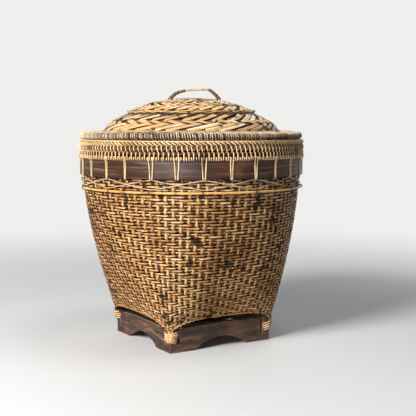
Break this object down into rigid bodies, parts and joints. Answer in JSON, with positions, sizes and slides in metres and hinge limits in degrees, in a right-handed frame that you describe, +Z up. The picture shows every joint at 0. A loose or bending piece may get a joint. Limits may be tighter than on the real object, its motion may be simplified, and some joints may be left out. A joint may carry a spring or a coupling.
{
  "type": "lidded storage basket",
  "caption": "Woven rattan storage basket, round at the mouth and square at the base, on an arched wooden stand, with a domed lid that lifts off by a small cane handle.",
  "frame": {"origin": "on the floor at the middle of the stand", "axes": "+Z up; +X and +Y along the stand's sides, with the front board on the -Y side"},
  "size_m": [0.3601, 0.3602, 0.4021],
  "materials": {
    "honey_rattan": "oiled split rattan, satin",
    "pale_cane": "bare split cane, satin",
    "brown_cane": "stained cane, satin",
    "grey_cane": "smoked cane wrapping, matt",
    "tan_strip": "bare plaited rattan strip, satin",
    "dark_wood": "dark bent wood, rubbed oil",
    "stand_wood": "dark stained wood, matt"
  },
  "bodies": {
    "basket": {"woven_body": "honey_rattan", "inner_band": "pale_cane", "rim_core": "pale_cane", "rim_edging": "pale_cane", "border_hoop_lower": "brown_cane", "border_hoop_middle": "brown_cane", "border_hoop_upper": "brown_cane", "wood_band": "dark_wood", "band_lashings": "pale_cane", "cross_lashing_outer": "pale_cane", "cross_lashing_inner": "pale_cane", "waist_hoop": "honey_rattan", "waist_ties": "pale_cane", "stand_board_front": "stand_wood", "stand_board_right": "stand_wood", "stand_board_back": "stand_wood", "stand_board_left": "stand_wood", "stand_pegs": "stand_wood", "corner_lashing_front_left": "pale_cane", "corner_lashing_front_right": "pale_cane", "corner_lashing_back_right": "pale_cane", "corner_lashing_back_left": "pale_cane"},
    "lid": {"lid_rim_core": "pale_cane", "lid_rim_wrap": "grey_cane", "lid_flange": "grey_cane", "lid_collar": "pale_cane", "lid_skirt": "tan_strip", "skirt_binding": "tan_strip", "lid_crown": "tan_strip", "crown_edging": "tan_strip", "handle_bail": "pale_cane", "handle_wrap_left": "brown_cane", "handle_wrap_right": "brown_cane", "handle_knots": "pale_cane"}
  },
  "joints": [
    {"name": "lid_lift", "type": "slide", "parent": "basket", "child": "lid", "axis": [0, 0, 1], "range_m": [0, 0.25]}
  ]
}
